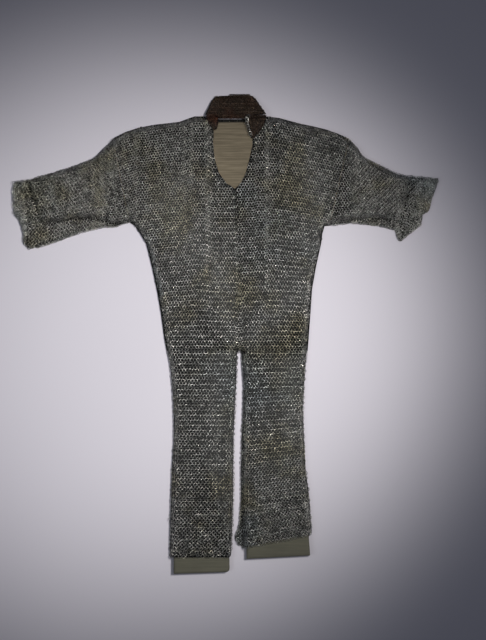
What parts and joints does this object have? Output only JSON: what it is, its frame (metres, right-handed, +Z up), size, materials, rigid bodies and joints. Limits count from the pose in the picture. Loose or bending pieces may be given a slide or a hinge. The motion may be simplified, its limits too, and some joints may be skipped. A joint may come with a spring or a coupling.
{
  "type": "chainmail hauberk on a linen-covered display board",
  "caption": "Mail hauberk with short sleeves, integral legs, an open V neck and a dense collar, laid flat over a thin linen-covered board.",
  "frame": {"origin": "centre of the bounding box, on the surface that the garment lies on", "axes": "+X to the viewer's right across the garment, +Y from the hems to the collar, +Z up from the surface"},
  "size_m": [1.372, 1.536, 0.0393],
  "materials": {
    "mail": "aged riveted iron rings, worn bright on the crowns and dark between",
    "collar_mail": "small dense rings, browned, laced in rows",
    "linen": "plain woven natural linen over padding"
  },
  "bodies": {
    "root": {"front_left": "mail", "front_right": "mail", "back": "mail", "sleeve_left": "mail", "sleeve_right": "mail", "leg_left": "mail", "leg_right": "mail", "collar_back": "collar_mail", "collar_left": "collar_mail", "collar_right": "collar_mail", "display_board": "linen"}
  },
  "joints": []
}
